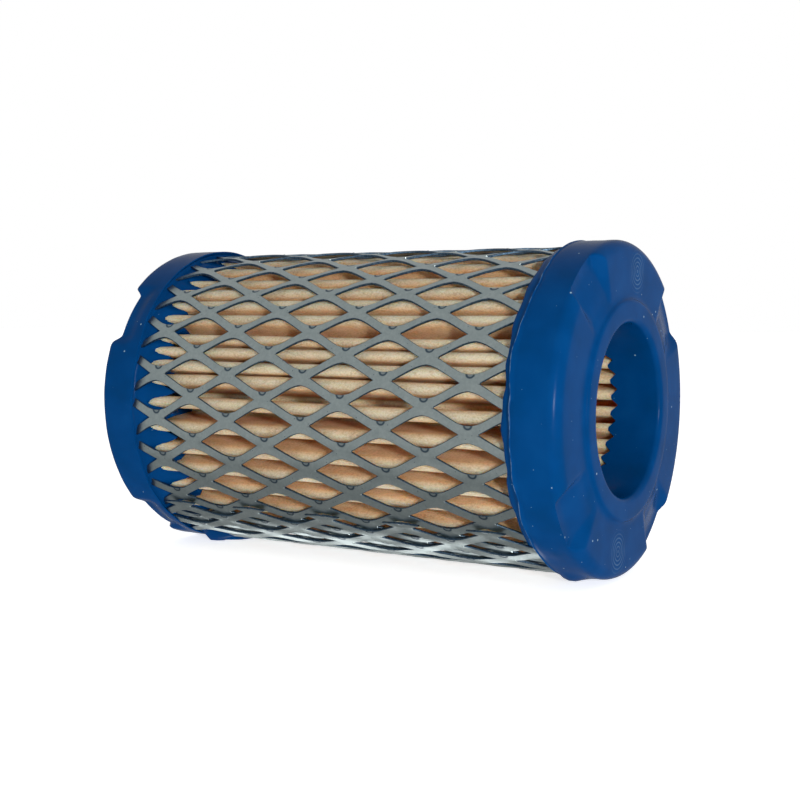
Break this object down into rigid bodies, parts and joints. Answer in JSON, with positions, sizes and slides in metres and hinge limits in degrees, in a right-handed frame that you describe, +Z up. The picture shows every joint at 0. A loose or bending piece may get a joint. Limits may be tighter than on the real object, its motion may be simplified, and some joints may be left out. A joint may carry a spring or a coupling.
{
  "type": "small engine air filter cartridge",
  "caption": "Round air filter cartridge for a small engine: pleated paper in an expanded-metal jacket, with soft blue moulded end caps and a ringed outlet hole.",
  "frame": {"origin": "centre of the cartridge, on its axis, halfway between the outer faces of its end caps", "axes": "+X along the axis, towards the outlet; +Z up as the cartridge lies on its side; -Y towards the viewer"},
  "size_m": [0.114, 0.07, 0.07],
  "materials": {
    "moulded_cap": "satin",
    "filter_paper": "matte",
    "galvanised_jacket": "satin",
    "seam_clip": "satin"
  },
  "bodies": {
    "root": {"outlet_end_cap": "moulded_cap", "closed_end_cap": "moulded_cap", "pleated_paper_element": "filter_paper", "paper_seam_clip": "seam_clip", "expanded_metal_jacket": "galvanised_jacket"}
  },
  "joints": []
}
